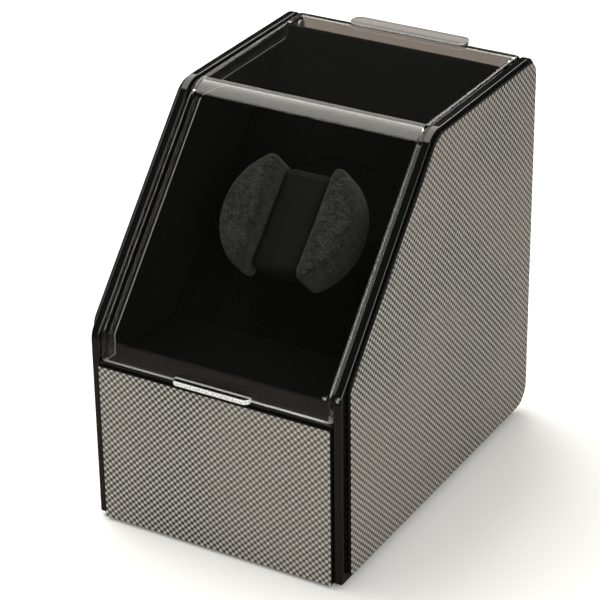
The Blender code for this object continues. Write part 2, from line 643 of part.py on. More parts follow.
def make_cushion():
    """The lift-out watch holder: a plastic core on two legs, with a felt pad each side of the groove."""
    core_wide, core_half, core_high, leg_low = STRAP_HALF - GAP, 24 * MM, 33 * MM, -8 * MM
    core = block("holder_core", (-core_wide, -core_half, PAD_LOW), (core_wide, core_half, core_high),
                 BLACK_PLASTIC, ROTOR_AXIS)
    soften(core, 4 * MM, 3)
    combine(core, block("holder_bar", (-LEG_X[1], -BAR_HALF, BAR_LOW), (LEG_X[1], BAR_HALF, BAR_HIGH),
                        parent=ROTOR_AXIS), "UNION")
    for i, leg in enumerate(leg_outlines(0)):
        combine(core, flat(f"holder_leg_{i}", [leg], leg_low, BAR_LOW + 2 * MM, parent=ROTOR_AXIS), "UNION")
    for name, side in (("left_felt_pad", -1), ("right_felt_pad", 1)):
        pad = flat(name, [half_round(side)], PAD_LOW, PAD_HIGH, FELT, ROTOR_AXIS)
        soften(pad, 5 * MM, 3)
        pocket = sorted((side * (STRAP_HALF - MM), side * (LEG_X[1] + GAP)))
        combine(pad, block(name + "_pocket", (pocket[0], -BAR_HALF - GAP, PAD_LOW - MM),
                           (pocket[1], BAR_HALF + GAP, BAR_HIGH + GAP), parent=ROTOR_AXIS))


def half_round(side):
    """A circle's segment outside the strap groove."""
    start = math.acos(STRAP_HALF / PAD_RADIUS)
    count = 22
    turns = [start - 2 * start * i / count for i in range(count + 1)]
    return [(side * PAD_RADIUS * math.cos(t), PAD_RADIUS * math.sin(t)) for t in turns]


# ---- drive ------------------------------------------------------------------------------------------
def make_housing():
    """The cup behind the panel: its flange screws to the panel and its pillars carry the motor bracket."""
    wall_in, wall_out, flange = 43.5 * MM, 45.5 * MM, 50 * MM
    bush_hole = FRONT_BUSH + GAP
    profile = [(flange, HOUSING_RIM), (flange, HOUSING_RIM - 2 * MM), (wall_out, HOUSING_RIM - 2 * MM),
               (wall_out, FLOOR_LOW), (bush_hole, FLOOR_LOW), (bush_hole, FLOOR_TOP), (wall_in, FLOOR_TOP),
               (wall_in, HOUSING_RIM)]
    housing = turned("rotor_housing", profile, BLACK_PLASTIC, ROTOR_AXIS, steps=40, closed=True)
    for i, place in enumerate(PILLAR_PLACES):
        combine(housing, rod(f"pillar_{i}", 3.5 * MM, BRACKET_TOP + GAP, FLOOR_LOW + MM, parent=ROTOR_AXIS,
                             place=place, sides=12), "UNION")
        combine(housing, rod(f"pillar_bore_{i}", PILLAR_BORE, BRACKET_TOP - MM, BRACKET_TOP + 10 * MM,
                             parent=ROTOR_AXIS, place=place, sides=10))
    bush("front_bush", FRONT_BUSH, FLOOR_LOW - 1.5 * MM, FLOOR_TOP + 2 * MM)
    bush("rear_bush", REAR_BUSH, BRACKET_LOW - 1.2 * MM, BRACKET_TOP + 1.8 * MM)


def bush(name, radius, low, high):
    """A plain bronze bush on the rotor axis."""
    bore = SHAFT_RADIUS + 0.1 * MM
    turned(name, [(radius, high), (radius, low), (bore, low), (bore, high)], BRONZE, ROTOR_AXIS, steps=24,
           closed=True)


def make_bracket():
    """The steel plate across the pillars, which holds the rear bush and the gear motor."""
    collar_hole, screw_hole = 4.6 * MM, 1.6 * MM
    holes = [circle(REAR_BUSH + GAP, sides=32), circle(collar_hole, (0, -MOTOR_OFFSET), 24)]
    holes += [circle(screw_hole, place, 16) for place in PILLAR_PLACES]
    reach = PILLAR_RING + 4 * MM
    head, shoulder = (10 * MM, reach), reach * math.cos(math.radians(30))
    wing_high, wing_low, toe = -reach / 2 + 8 * MM, -reach / 2 - 10 * MM, (14 * MM, -50 * MM)
    half = [head, (shoulder, wing_high), (shoulder, wing_low), toe]
    mirrored = [(-x, y) for x, y in reversed(half)]
    outline = rounded([*half, *mirrored], [4 * MM] * 8, 4)
    flat("motor_bracket", [outline, *holes], BRACKET_LOW, BRACKET_TOP, STEEL, ROTOR_AXIS)


def gear_outline(teeth, phase):
    """A toothed outline with straight flanks and running backlash."""
    pitch = MODULE * teeth / 2
    rise, fall, slack = 0.85 * MODULE, 1.2 * MODULE, 0.16 * MODULE
    slope = math.tan(math.radians(20))
    half = math.pi * MODULE / 4 - slack
    points = []
    for k in range(teeth):
        middle = phase - 2 * math.pi * k / teeth
        for height, side in ((-fall, 1), (rise, 1), (rise, -1), (-fall, -1)):
            angle = middle + side * (half - slope * height) / pitch
            radius = pitch + height
            points.append((radius * math.cos(angle), radius * math.sin(angle)))
    return points


def make_gears():
    """The rotor gear with its collar, and the motor pinion on its shaft."""
    bore = circle(SHAFT_RADIUS + GAP, sides=28)
    gear = flat("rotor_gear", [gear_outline(GEAR_TEETH, 0), bore], GEAR_LOW, GEAR_TOP, NYLON, ROTOR_AXIS)
    combine(gear, flat("gear_collar", [circle(2 * SHAFT_RADIUS, sides=28), bore], GEAR_LOW - 3 * MM,
                       GEAR_LOW + MM, parent=ROTOR_AXIS), "UNION")
    half_tooth = math.radians(180 / PINION_TEETH)
    flat("motor_pinion", [gear_outline(PINION_TEETH, half_tooth), circle(MOTOR_SHAFT_RADIUS + GAP, sides=16)],
         GEAR_LOW - MM, GEAR_TOP + MM, BRASS, PINION_AXIS)
    rod("motor_shaft", MOTOR_SHAFT_RADIUS, SHAFT_LOW, GEAR_TOP + 1.6 * MM, STEEL, PINION_AXIS, sides=20)


def make_motor():
    """The gearbox under the bracket, with its blind shaft bore, and the motor can behind it."""
    radius, collar, collar_rise, chamfer = 12 * MM, 4.2 * MM, 3 * MM, 0.5 * MM
    top = BRACKET_LOW - GAP
    bore = MOTOR_SHAFT_RADIUS + GAP
    profile = [(bore, top + collar_rise), (collar, top + collar_rise), (collar, top), (radius, top),
               (radius, GEARBOX_LOW), (0, GEARBOX_LOW), (0, SHAFT_LOW - MM), (bore, SHAFT_LOW - MM)]
    turned("gearbox", profile, MOTOR_STEEL, PINION_AXIS, steps=24, closed=True)
    can_top, can_radius, tail = GEARBOX_LOW - GAP, radius - chamfer, 4 * MM
    can = [(0, can_top), (can_radius - chamfer, can_top), (can_radius, can_top - chamfer),
           (can_radius, CAN_LOW + MM), (can_radius - MM, CAN_LOW), (tail, CAN_LOW), (tail, CAN_END),
           (0, CAN_END)]
    turned("motor_can", can, MOTOR_STEEL, PINION_AXIS, steps=24)


# ---- electrics --------------------------------------------------------------------------------------
def make_control_board():
    """The circuit board on the back board's stand-offs, with its chips and plug blocks in one solid."""
    half, low, high = 30 * MM, 58 * MM, 100 * MM
    board = block("control_board", (-half, CIRCUIT_FACE, low), (half, CIRCUIT_BACK, high), CIRCUIT)
    # middle x, middle z, width, height and how far each part stands off the board
    parts = [(-6 * MM, 76 * MM, 12 * MM, 8 * MM, 2 * MM), (16 * MM, 84 * MM, 8 * MM, 10 * MM, 3 * MM),
             (-20 * MM, 86 * MM, 7 * MM, 7 * MM, 4.5 * MM)]
    plug_tall = 7 * MM
    parts += [(x, z + plug_tall / 2, 8 * MM, plug_tall, 5 * MM) for x, z in CONNECTORS]
    for i, (x, z, wide, tall, deep) in enumerate(parts):
        combine(board, block(f"board_part_{i}", (x - wide / 2, CIRCUIT_FACE - deep, z - tall / 2),
                             (x + wide / 2, CIRCUIT_FACE + CIRCUIT_THICK / 2, z + tall / 2)), "UNION")


def make_leads():
    """The two leads inside the box: motor to board, and jack to board."""
    out = CAN_END - GAP
    start = on_axis(0, -MOTOR_OFFSET, out)
    straight = on_axis(0, -MOTOR_OFFSET, out - 5 * MM)
    (left_x, plug_z), (right_x, _) = CONNECTORS
    plug_y = CIRCUIT_FACE - 2.4 * MM
    meet = plug_z - GAP
    tube("motor_lead", [start, straight, (5 * MM, 132 * MM, 13 * MM), (11 * MM, 145 * MM, 20 * MM),
                        (15 * MM, 154 * MM, 38 * MM), (right_x, plug_y, 50 * MM), (right_x, plug_y, meet)])
    jack_y = BACK_FACE - JACK_LENGTH - GAP
    tube("power_lead", [(JACK_X, jack_y, CONTROL_HEIGHT), (JACK_X, jack_y - 4 * MM, CONTROL_HEIGHT),
                        (JACK_X + 2 * MM, jack_y - 6 * MM, CONTROL_HEIGHT + 6 * MM),
                        (left_x, plug_y, 51 * MM), (left_x, plug_y, meet)])


def make_switch():
    """The rocker switch: a bezel with its body, and the rocker tipped to off."""
    face = BACK_FACE + GAP
    bezel_wide, bezel_tall, bezel_thick = 8 * MM, 12 * MM, 1.6 * MM
    body_wide, body_tall = SWITCH_BODY
    wall, body_deep, floor = 1.3 * MM, 8 * MM, 2.3 * MM
    bezel = block("switch_bezel", (SWITCH_X - bezel_wide, face, CONTROL_HEIGHT - bezel_tall),
                  (SWITCH_X + bezel_wide, face + bezel_thick, CONTROL_HEIGHT + bezel_tall), BLACK_PLASTIC,
                  round_width=0.5 * MM)
    combine(bezel, block("switch_body",
                         (SWITCH_X - body_wide, BACK_FACE - body_deep, CONTROL_HEIGHT - body_tall),
                         (SWITCH_X + body_wide, face + bezel_thick / 2, CONTROL_HEIGHT + body_tall)), "UNION")
    well_wide, well_tall = body_wide - wall, body_tall - wall
    combine(bezel, block("switch_well",
                         (SWITCH_X - well_wide, BACK_FACE - body_deep + floor, CONTROL_HEIGHT - well_tall),
                         (SWITCH_X + well_wide, BACK_FACE + body_deep, CONTROL_HEIGHT + well_tall)))
    axis = empty("switch_axis", BOX, (SWITCH_X, ROCKER_Y, CONTROL_HEIGHT))
    half = [(4.4 * MM, -7.4 * MM), (0.6 * MM, -8.2 * MM), (-3.4 * MM, -4.5 * MM)]
    outline = [*half, (-4.4 * MM, 0), *[(y, -z) for y, z in reversed(half)], (2.6 * MM, 0)]
    c, s = math.cos(math.radians(SWITCH_TILT)), math.sin(math.radians(SWITCH_TILT))
    leaned = [(y * c + z * s, z * c - y * s) for y, z in outline]
    rocker_half = well_wide - 0.4 * MM
    rocker = flat("switch_rocker", [leaned], -rocker_half, rocker_half, BLACK_PLASTIC, axis,
                  rotation=SIDE_TURN)
    soften(rocker, 0.4 * MM, 2, 20)


def make_selector():
    """The turns-per-day selector: its body behind the board and its fluted knob outside."""
    half, deep = 8 * MM, 14 * MM
    selector = block("selector_body", (SELECTOR_X - half, BACK_FACE - deep, CONTROL_HEIGHT - half),
                     (SELECTOR_X + half, BACK_FACE - BOARD - GAP, CONTROL_HEIGHT + half), BLACK_PLASTIC,
                     round_width=0.6 * MM)
    combine(selector, rod("selector_bore", SELECTOR_NECK + GAP, 2 * MM - deep, 4 * MM,
                          place=(SELECTOR_X, BACK_FACE, CONTROL_HEIGHT), rotation=BACK_TURN, sides=24))
    axis = empty("selector_axis", BOX, (SELECTOR_X, BACK_FACE, CONTROL_HEIGHT), BACK_TURN)
    radius, top, low, stem_end, dome = 8.2 * MM, 6.6 * MM, 0.5 * MM, -10.5 * MM, 0.8 * MM
    profile = [(0, top), (radius - 1.2 * MM, top), (radius - 0.4 * MM, top - dome), (radius, low),
               (SELECTOR_NECK, low), (SELECTOR_NECK, stem_end), (0, stem_end)]
    knob = turned("selector_knob", profile, BLACK_PLASTIC, axis, steps=40)
    flutes, flute_ring = 10, radius + GAP
    for k in range(flutes):
        angle = 2 * math.pi * (k + 0.5) / flutes
        combine(knob, rod(f"knob_flute_{k}", MM, 1.5 * MM, top + 2 * MM, parent=axis,
                          place=(flute_ring * math.cos(angle), flute_ring * math.sin(angle)), sides=8))
    combine(knob, block("knob_pointer", (-0.5 * MM, -0.8 * radius, top - 0.5 * MM),
                        (0.5 * MM, -0.25 * radius, top + MM), parent=axis))


def make_jack():
    """The power inlet: a flanged barrel with its socket and centre pin."""
    flange, flange_rise, socket, pin = 6.6 * MM, 1.9 * MM, 3.0 * MM, MM
    socket_floor, pin_tip, chamfer = -8.5 * MM, -0.5 * MM, 0.4 * MM
    profile = [(socket, flange_rise), (flange - chamfer, flange_rise), (flange, flange_rise - chamfer),
               (flange, GAP), (JACK_BARREL, GAP), (JACK_BARREL, -JACK_LENGTH), (0, -JACK_LENGTH),
               (0, pin_tip), (pin - chamfer, pin_tip), (pin, pin_tip - chamfer), (pin, socket_floor),
               (socket, socket_floor)]
    place = (JACK_X, BACK_FACE, CONTROL_HEIGHT)
    turned("power_jack", profile, BLACK_PLASTIC, BOX, place, BACK_TURN, steps=32, closed=True)


make_cheeks()
make_laminates()
make_boards()
make_battens()
make_screws()
make_feet()
make_lid()
make_lid_pins()
make_display()
make_liners()
make_rotor()
make_cushion()
make_housing()
make_bracket()
make_gears()
make_motor()
make_control_board()
make_leads()
make_switch()
make_selector()
make_jack()
bpy.context.view_layer.update()
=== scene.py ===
"""Looks of the single watch winder box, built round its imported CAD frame.

Metres, +Z up, and the box faces -Y. Every CAD node keeps its shape and gets smooth shading and a
node material here. The two felt pads are made again as soft, swollen pads by cloth simulation.
"""
import math

import bmesh
import bpy
from mathutils import Matrix, Vector


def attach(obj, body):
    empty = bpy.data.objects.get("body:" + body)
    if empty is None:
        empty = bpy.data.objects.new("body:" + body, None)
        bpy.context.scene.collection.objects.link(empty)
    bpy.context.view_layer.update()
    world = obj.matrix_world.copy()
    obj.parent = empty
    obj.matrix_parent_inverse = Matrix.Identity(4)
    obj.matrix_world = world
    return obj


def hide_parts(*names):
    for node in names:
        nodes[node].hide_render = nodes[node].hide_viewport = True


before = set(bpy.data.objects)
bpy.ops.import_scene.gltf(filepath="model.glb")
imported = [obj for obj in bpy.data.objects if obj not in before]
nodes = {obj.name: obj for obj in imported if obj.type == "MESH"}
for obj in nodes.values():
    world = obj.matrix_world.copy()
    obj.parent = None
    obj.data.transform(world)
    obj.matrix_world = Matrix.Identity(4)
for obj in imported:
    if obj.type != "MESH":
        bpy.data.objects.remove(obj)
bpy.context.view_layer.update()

# ---- places taken from the CAD --------------------------------------------------------------
MM = 0.001
HALF_ROOT = math.sqrt(0.5)
ROTOR_ORIGIN = Vector((0, 3.25 * MM, 107.5 * MM))   # where the rotor's axis meets the slanted panel
# rotor coordinates: x across, y up the slanted panel, z out along the rotor's axis
ROTOR = Matrix.Translation(ROTOR_ORIGIN) @ Matrix(
    ((1, 0, 0, 0), (0, HALF_ROOT, -HALF_ROOT, 0), (0, HALF_ROOT, HALF_ROOT, 0), (0, 0, 0, 1)))

SLOPE_NORMAL = Vector((0, -0.7414, 0.6711))         # out of the lid's raked face
SLOPE_LEVEL = 127.137 * MM                          # that face's distance from the origin
LID_FLANGE = 9.0 * MM
LID_FRONT, LID_REAR = -87.85 * MM, 87.15 * MM
LID_LOW, LID_TOP = 80.2 * MM, 181.0 * MM

# the felt pads, in rotor coordinates
PAD_RADIUS = 32.5 * MM
PAD_LOW, PAD_HIGH = 18 * MM, 42.5 * MM
GROOVE_HALF = 12.5 * MM                             # half the width of the strap's groove
POCKET_OUT, POCKET_HIGH = 19.5 * MM, 22.3 * MM      # middle of the hollow for the holder's bar
POCKET_SIZE = (15.2 * MM, 16.6 * MM, 12.0 * MM)


def add_object(name, data):
    """A new object in the scene."""
    made = bpy.data.objects.new(name, data)
    bpy.context.scene.collection.objects.link(made)
    return made


# ---- camera, light and floor ----------------------------------------------------------------
CAMERA_PLACE = (0.4928, -0.85425, 0.6023)
CAMERA_TURNS = ((30.41, "Z"), (62.24, "X"), (-0.81, "Z"))   # the last is the picture's own tilt
CAMERA_LENS, SENSOR_WIDTH = 149.75, 36                      # millimetres
CAMERA_NEAR, CAMERA_FAR = 0.05, 50

SEEN_THROUGH = (0.178, 0.150, 0.138)    # the room, where it is seen through a clear sheet
# what a ray finds round the box when it comes straight, or past a bounce of each kind
STUDIO = ((None, (1, 1, 1), 1.0),
          ("Transmission Depth", SEEN_THROUGH, 1.0),
          ("Glossy Depth", (1.0, 1.0, 0.86), 0.027),
          ("Diffuse Depth", (1.0, 0.985, 0.955), 0.60))
BOUNCED = 0.5                           # a depth over this means at least one bounce

WARM = (1.0, 0.97, 0.92)
# name, place, point it faces, size, power, colour, surfaces it serves
LIGHTS = (
    ("overhead_softbox", (-0.46, 0.22, 0.85), (-0.46, -0.10, -0.10), (0.80, 1.16), 13.0,
     (1.0, 0.985, 0.93), ("matt",)),
    ("overhead_gleam", (-0.46, 0.21, 0.82), (-0.46, -0.11, -0.13), (0.80, 1.16), 7.2,
     (1.0, 0.985, 0.905), ("gloss", "clear")),
    ("front_softbox", (0.85, -0.80, 0.62), (0, 0, 0.09), (0.75, 0.75), 9.0,
     (1.0, 0.985, 0.95), ("matt", "gloss")),
    ("left_gleam", (-0.98, -0.22, 0.52), (0, 0, 0.12), (0.26, 0.50), 1.7, WARM, ("gloss",)),
    ("right_gleam", (0.95, -0.22, 0.60), (0, 0, 0.14), (0.42, 0.50), 1.2, WARM, ("gloss",)),
    ("knee_gleam", (-0.361, -0.986, 0.224), (0.057, -0.089, 0.08), (0.022, 0.45), 0.28,
     (0.95, 1.0, 0.96), ("gloss",)),
    ("rear_gleam", (0.11, 0.89, 0.79), (0.05, 0, 0.18), (0.36, 0.32), 1.6, (1, 1, 1),
     ("gloss",)),
)


def make_camera():
    """The camera, at the picture's angle."""
    data = bpy.data.cameras.new("camera")
    data.sensor_width = SENSOR_WIDTH
    data.lens = CAMERA_LENS
    data.clip_start, data.clip_end = CAMERA_NEAR, CAMERA_FAR
    turned = Matrix.Identity(4)
    for degrees, axis in CAMERA_TURNS:
        turned = turned @ Matrix.Rotation(math.radians(degrees), 4, axis)
    camera = add_object("camera", data)
    camera.matrix_world = Matrix.Translation(CAMERA_PLACE) @ turned
    bpy.context.scene.camera = camera


def softbox(name, place, target, size, power, color, serves):
    """A rectangular studio light at place, turned to face target.

    It is met by rays from the surfaces it serves: matt ones, gloss, or the clear lid.
    """
    data = bpy.data.lights.new(name, "AREA")
    data.shape = "RECTANGLE"
    data.size, data.size_y = size
    data.energy = power
    data.color = color
    light = add_object(name, data)
    light.location = place
    light.rotation_mode = "QUATERNION"
    light.rotation_quaternion = (Vector(target) - Vector(place)).to_track_quat("-Z", "Y")
    light.visible_diffuse = "matt" in serves
    light.visible_glossy = "gloss" in serves
    light.visible_transmission = "clear" in serves


def make_world():
    """A dim studio for the gloss to mirror, plain white where it is seen directly."""
    world = bpy.data.worlds.new("studio")
    world.use_nodes = True
    tree = world.node_tree
    tree.nodes.clear()
    path = tree.nodes.new("ShaderNodeLightPath")
    shown = None
    for depth, color, strength in STUDIO:
        background = tree.nodes.new("ShaderNodeBackground")
        background.inputs["Color"].default_value = (*color, 1)
        background.inputs["Strength"].default_value = strength
        if depth is None:
            shown = background.outputs[0]
            continue
        bounced = tree.nodes.new("ShaderNodeMath")
        bounced.operation = "GREATER_THAN"
        bounced.inputs[1].default_value = BOUNCED
        tree.links.new(path.outputs[depth], bounced.inputs[0])
        mixed = tree.nodes.new("ShaderNodeMixShader")
        tree.links.new(bounced.outputs[0], mixed.inputs[0])
        tree.links.new(shown, mixed.inputs[1])
        tree.links.new(background.outputs[0], mixed.inputs[2])
        shown = mixed.outputs[0]
    tree.links.new(shown, tree.nodes.new("ShaderNodeOutputWorld").inputs[0])
    bpy.context.scene.world = world


def make_floor():
    """A pale floor, which the gloss mirrors only faintly and clear sheets show as the room."""
    reach = 6.0
    corners = [(-reach, -reach, 0), (reach, -reach, 0), (reach, reach, 0), (-reach, reach, 0)]
    mesh = bpy.data.meshes.new("floor")
    mesh.from_pydata(corners, [], [(0, 1, 2, 3)])
    floor = add_object("floor", mesh)
    look = Look("floor_pale", {"Roughness": 0.9, "Specular IOR Level": 0.1})
    path = look.tree.nodes.new("ShaderNodeLightPath")
    mirrored = look.calc("GREATER_THAN", path.outputs["Glossy Depth"], BOUNCED)
    through = look.calc("GREATER_THAN", path.outputs["Transmission Depth"], BOUNCED)
    tone = look.mix(look.noise(3.0, 2), (0.93, 0.93, 0.925), (0.90, 0.90, 0.895))
    tone = look.mix(through, tone, SEEN_THROUGH)
    away = look.node("VectorMath", {0: look.place}, 1, operation="LENGTH")
    near, far = 0.12, 0.75   # the floor's mirror image fades between these distances from the box
    image = look.mix(look.step(away, near, far), (0.135, 0.118, 0.104), (0.02, 0.019, 0.017))
    look.put("Base Color", look.mix(mirrored, tone, image))
    mesh.materials.append(look.made)


# ---- building node materials ----------------------------------------------------------------
class Look:
    """A node material being built.

    Each method adds nodes and returns the output that holds its result. Scales are in features to
    the metre.
    """

    def __init__(self, name, sockets=None):
        self.made = bpy.data.materials.new(name)
        self.made.use_nodes = True
        self.tree = self.made.node_tree
        self.shader = self.tree.nodes["Principled BSDF"]
        self.place = self.tree.nodes.new("ShaderNodeTexCoord").outputs["Object"]
        for key, value in (sockets or {}).items():
            self.put(key, value)

    def join(self, value, socket):
        """Links value to a socket if it is an output, and otherwise sets it there."""
        if isinstance(value, bpy.types.NodeSocket):
            self.tree.links.new(value, socket)
        elif isinstance(value, tuple) and socket.type == "RGBA":
            socket.default_value = (*value, 1)
        else:
            socket.default_value = value

    def put(self, key, value):
        """One of the shader's own sockets."""
        self.join(value, self.shader.inputs[key])

    def node(self, kind, inputs, output=0, **settings):
        """Adds one node, with its settings, and its inputs by name or number."""
        made = self.tree.nodes.new("ShaderNode" + kind)
        for key, value in settings.items():
            setattr(made, key, value)
        for key, value in inputs.items():
            self.join(value, made.inputs[key])
        return made.outputs[output]

    def calc(self, operation, *values):
        """A Math node."""
        return self.node("Math", dict(enumerate(values)), operation=operation)

    def plus(self, first, second):
        """The sum of two numbers."""
        return self.calc("ADD", first, second)

    def minus(self, first, second):
        """The first number less the second."""
        return self.calc("SUBTRACT", first, second)

    def times(self, first, second):
        """The product of two numbers."""
        return self.calc("MULTIPLY", first, second)

    def mix(self, factor, first, second):
        """A blend of two colours."""
        return self.node("Mix", {0: factor, 6: first, 7: second}, 2, data_type="RGBA")

    def blend(self, factor, first, second):
        """A blend of two numbers."""
        return self.node("Mix", {0: factor, 2: first, 3: second}, 0, data_type="FLOAT")

    def step(self, value, low, high, first=0.0, last=1.0):
        """Runs smoothly from first to last as value goes from low to high."""
        return self.node("MapRange", {"Value": value, "From Min": low, "From Max": high,
                                      "To Min": first, "To Max": last},
                         interpolation_type="SMOOTHSTEP")

    def spread(self, noise, first=0.0, last=1.0):
        """Runs from first to last over the middle of a noise's range."""
        return self.step(noise, 0.3, 0.7, first, last)

    def noise(self, scale, detail=3.0, rough=0.5, place=None, distortion=0.0):
        """A noise between 0 and 1."""
        return self.node("TexNoise", {"Vector": place or self.place, "Scale": scale,
                                      "Detail": detail, "Roughness": rough,
                                      "Distortion": distortion})

    def stretched(self, scale, turn=(0, 0, 0)):
        """The place, scaled apart on each axis and turned."""
        return self.node("Mapping", {"Vector": self.place, "Scale": scale, "Rotation": turn})

    def streaks(self, scale, detail=3.0, rough=0.6, turn=(0, 0, 0), distortion=0.0):
        """A noise with a scale for each axis, for grain, fibres and brushing."""
        return self.noise(1, detail, rough, self.stretched(scale, turn), distortion)

    def axis(self, name):
        """One coordinate, X, Y or Z."""
        return self.node("SeparateXYZ", {0: self.place}, "XYZ".index(name))

    def drawn(self, column, row):
        """A random number for the cell with these two whole numbers."""
        cell = self.node("CombineXYZ", {0: column, 1: row, 2: 0.0})
        return self.node("TexWhiteNoise", {0: cell}, 0, noise_dimensions="3D")

    def bump(self, height, distance, strength=1.0, under=None):
        """Raises the surface by height times distance, in metres."""
        inputs = {"Height": height, "Distance": distance, "Strength": strength}
        if under is not None:
            inputs["Normal"] = under
        return self.node("Bump", inputs)

    def rubbed(self, radius, scale, low, high):
        """1 on patches of the edges, which are where the surface turns sharply within radius."""
        flat = self.node("NewGeometry", {}, 1)
        rounded = self.node("Bevel", {"Radius": radius}, samples=4)
        along = self.node("VectorMath", {0: flat, 1: rounded}, 1, operation="DOT_PRODUCT")
        edge = self.step(self.minus(1.0, along), 0.02, 0.25)
        return self.times(edge, self.step(self.noise(scale, 4, 0.7), low, high))


def scaled(color, factor):
    """A colour made lighter or darker."""
    return tuple(factor * part for part in color)


def gloss_black():
    """Deep black lacquer, with faint orange peel, wiping marks, dust and rubbed edges."""
    look = Look("gloss_black", {"Specular IOR Level": 0.54, "Coat Weight": 0.35,
                                "Coat Roughness": 0.03})
    dust = look.step(look.noise(2600, 2), 0.71, 0.76)
    wiped = look.streaks((18, 18, 60), 4)
    rub = look.rubbed(0.5 * MM, 240, 0.45, 0.75)
    base = look.mix(dust, (0.0028, 0.0031, 0.0024), (0.035, 0.034, 0.030))
    look.put("Base Color", look.mix(look.times(rub, 0.35), base, (0.05, 0.05, 0.045)))
    rough = look.step(wiped, 0.3, 0.75, 0.07, 0.15)
    look.put("Roughness", look.blend(look.calc("MAXIMUM", dust, rub), rough, 0.4))
    look.put("Normal", look.bump(look.noise(160, 2), 0.05 * MM, 0.25))
    return look.made


def carbon_laminate(name, across, low, tone):
    """A plain weave print under satin film: pale threads over dark ones, square by square.

    Across is the print's level axis. Low is how pale it is where squares meet, and tone scales the
    colour of its pale threads; the side's copy has a lower tone than the front's, as painted shade.
    """
    look = Look(name, {"Specular IOR Level": 0.5, "Coat Weight": 0.22, "Coat Roughness": 0.32})
    side = 1.6 * MM   # of one square
    wander = look.times(look.minus(look.noise(55, 2), 0.5), 0.22)
    u, v = (look.plus(look.calc("DIVIDE", look.axis(way), side), wander) for way in (across, "Z"))
    square = look.plus(look.calc("FLOOR", u), look.calc("FLOOR", v))
    warp = look.calc("ABSOLUTE", look.calc("MODULO", square, 2.0))
    edge = look.calc("MAXIMUM", *(
        look.calc("ABSOLUTE", look.minus(look.times(look.calc("FRACT", way), 2.0), 1.0))
        for way in (u, v)))
    # the pale thread bulges over its whole square, the dark one dips into a pit between neighbours
    bulge = look.step(edge, 0.33, 1.03, 1.0, low)
    pit = look.step(edge, 0.52, 1.10, 0.0, low)
    height = look.blend(warp, bulge, pit)
    along = look.streaks((400, 400, 9000), 2)
    up = look.streaks((9000, 9000, 400), 2)
    strand = look.blend(warp, along, up)
    lit = look.spread(strand)
    pale = look.mix(lit, scaled((0.345, 0.331, 0.295), tone), scaled((0.515, 0.494, 0.443), tone))
    dark = look.mix(lit, (0.010, 0.009, 0.0075), (0.030, 0.027, 0.023))
    shaded = look.mix(height, dark, pale)
    faded = look.step(look.noise(14, 3), 0.35, 0.65, 0.0, 0.16)
    look.put("Base Color", look.mix(faded, shaded, (0.30, 0.235, 0.215)))
    look.put("Roughness", look.blend(warp, look.spread(strand, 0.34, 0.46), 0.55))
    look.put("Normal", look.bump(height, 0.06 * MM, 0.6))
    return look.made


def laminate_core():
    """The laminate's sawn and lacquered edge: black, with fine saw lines."""
    look = Look("laminate_core", {"Specular IOR Level": 0.12})
    sawn = look.streaks((4000, 600, 600))
    look.put("Base Color", look.mix(sawn, (0.004, 0.004, 0.0035), (0.012, 0.0115, 0.010)))
    look.put("Roughness", look.spread(sawn, 0.6, 0.75))
    look.put("Normal", look.bump(sawn, 0.03 * MM, 0.4))
    return look.made


def black_board():
    """Painted fibreboard: a slightly fuzzy black, paler and brownish where edges are rubbed."""
    look = Look("black_board", {"Specular IOR Level": 0.35})
    fibre = look.streaks((700, 700, 1800), 5, 0.65)
    paint = look.mix(fibre, (0.010, 0.010, 0.010), (0.028, 0.028, 0.027))
    rub = look.rubbed(0.5 * MM, 180, 0.42, 0.7)
    look.put("Base Color", look.mix(look.times(rub, 0.6), paint, (0.12, 0.085, 0.055)))
    look.put("Roughness", look.spread(look.noise(90, 4), 0.45, 0.68))
    look.put("Normal", look.bump(fibre, 0.08 * MM, 0.5))
    return look.made


def batten_wood():
    """Sawn softwood, with growth lines along the batten."""
    look = Look("batten_wood", {"Specular IOR Level": 0.3})
    bent = look.noise(30, 3, 0.5, look.stretched((1, 1, 0.15)))
    rings = look.calc("SINE", look.plus(look.times(look.axis("X"), 3800.0), look.times(bent, 14.0)))
    grain = look.step(rings, -0.6, 0.95)
    pores = look.streaks((3500, 3500, 120), 4)
    wood = look.mix(grain, (0.50, 0.34, 0.19), (0.36, 0.215, 0.10))
    dark = look.step(pores, 0.55, 0.75, 0.0, 0.5)
    look.put("Base Color", look.mix(dark, wood, (0.20, 0.11, 0.05)))
    look.put("Roughness", look.spread(pores, 0.55, 0.8))
    look.put("Normal", look.bump(look.blend(0.5, pores, grain), 0.08 * MM, 0.6))
    return look.made


def metal(name, color, stained, roughness, brushed):
    """Metal with brushing along one axis and tarnish in patches."""
    look = Look(name, {"Metallic": 1.0})
    lines = look.streaks(tuple(75 if axis == brushed else 1500 for axis in "XYZ"))
    patch = look.step(look.noise(130, 5, 0.65), 0.48, 0.72)
    clean = look.mix(lines, color, scaled(color, 0.82))
    look.put("Base Color", look.mix(patch, clean, stained))
    look.put("Roughness", look.plus(look.spread(lines, *roughness), look.times(patch, 0.12)))
    look.put("Normal", look.bump(lines, 0.03 * MM, 0.35))
    return look.made


